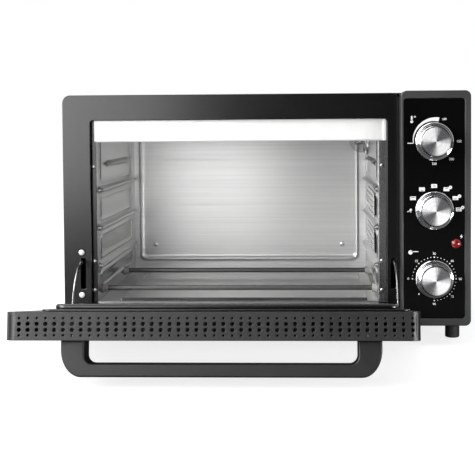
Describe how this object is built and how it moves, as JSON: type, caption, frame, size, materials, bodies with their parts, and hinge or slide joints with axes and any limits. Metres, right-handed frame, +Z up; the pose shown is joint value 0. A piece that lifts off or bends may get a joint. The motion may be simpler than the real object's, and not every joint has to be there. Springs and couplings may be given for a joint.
{
  "type": "toaster oven",
  "caption": "Counter-top electric oven with a drop-down door, U-shaped bail handle, steel cavity with shelf guides and heating rods, and a side column of rotary controls.",
  "frame": {"origin": "centre of the underside of the bounding box, on the surface it stands on, with the door open", "axes": "+Z up, +X to the right as seen from the front, -Y out of the front, where the door opens"},
  "size_m": [0.4232, 0.5532, 0.2585],
  "materials": {
    "black_paint": "gloss black stove enamel",
    "column_shell": "satin dark grey moulding",
    "fascia": "piano black with printed marks",
    "dark_plastic": "fine matt grain, dark grey",
    "galvanised": "bare galvanised sheet",
    "cavity_steel": "satin bright steel lining",
    "polished_steel": "bright rolled sheet",
    "hardware": "zinc plated steel",
    "knob_chrome": "bright chrome plate",
    "knob_face": "spun aluminium",
    "heater": "oxide grey steel tube",
    "glass": "clear tempered glass",
    "lamp_glass": "clear heat-proof glass",
    "red_lens": "translucent red, glossy",
    "rubber": "black, matt",
    "switch_body": "off-white phenolic moulding"
  },
  "bodies": {
    "chassis": {"front_bezel": "black_paint", "outer_casing": "black_paint", "base_plate": "galvanised", "rear_panel": "galvanised", "rear_spacer_left": "dark_plastic", "rear_spacer_right": "dark_plastic", "cord_gland": "rubber", "bezel_screw_upper": "hardware", "bezel_screw_lower": "hardware", "foot_front_left": "rubber", "foot_front_right": "rubber", "foot_rear_left": "rubber", "foot_rear_right": "rubber", "cavity_left_wall": "cavity_steel", "cavity_right_wall": "cavity_steel", "cavity_back": "cavity_steel", "cavity_ceiling": "cavity_steel", "cavity_floor": "polished_steel", "top_apron": "polished_steel", "crumb_tray": "polished_steel", "lower_front_element": "heater", "lower_rear_element": "heater", "upper_front_element": "heater", "upper_rear_element": "heater", "oven_lamp_base": "hardware", "oven_lamp_glass": "lamp_glass", "fan_motor": "galvanised", "control_housing": "column_shell", "control_fascia": "fascia", "power_indicator_lens": "red_lens", "thermostat": "switch_body", "function_switch": "switch_body", "timer_unit": "galvanised", "timer_bell": "galvanised", "hinge_bracket_left": "hardware", "hinge_bracket_right": "hardware"},
    "door": {"door_frame": "dark_plastic", "door_vent_strip": "dark_plastic", "door_outer_glass": "glass", "door_inner_panel": "black_paint", "door_inner_glass": "glass", "door_handle": "dark_plastic", "handle_screw_left": "hardware", "handle_screw_right": "hardware", "door_stay_left": "hardware", "door_stay_right": "hardware", "hinge_pin_left": "hardware", "hinge_pin_right": "hardware"},
    "temperature_control": {"temperature_knob": "knob_chrome", "temperature_knob_cap": "knob_face", "temperature_shaft": "hardware"},
    "function_control": {"function_knob": "knob_chrome", "function_knob_cap": "knob_face", "function_shaft": "hardware"},
    "timer_control": {"timer_knob": "knob_chrome", "timer_knob_cap": "knob_face", "timer_shaft": "hardware"},
    "fan": {"fan_blade": "galvanised"}
  },
  "joints": [
    {"name": "door_hinge", "type": "hinge", "parent": "chassis", "child": "door", "pos_m": [-0.0354, -0.05016, 0.0295], "axis": [1, 0, 0], "range_deg": [-81.5, 0]},
    {"name": "temperature_turn", "type": "hinge", "parent": "chassis", "child": "temperature_control", "pos_m": [0.1745, -0.06716, 0.2071], "axis": [0, 1, 0], "range_deg": [0, 270]},
    {"name": "function_turn", "type": "hinge", "parent": "chassis", "child": "function_control", "pos_m": [0.1745, -0.06716, 0.1375], "axis": [0, 1, 0], "range_deg": [-200, 0]},
    {"name": "timer_turn", "type": "hinge", "parent": "chassis", "child": "timer_control", "pos_m": [0.1745, -0.06716, 0.0679], "axis": [0, 1, 0], "range_deg": [-45, 270]},
    {"name": "fan_spin", "type": "hinge", "parent": "chassis", "child": "fan", "pos_m": [0.1256, 0.08784, 0.117], "axis": [1, 0, 0], "continuous": true}
  ]
}
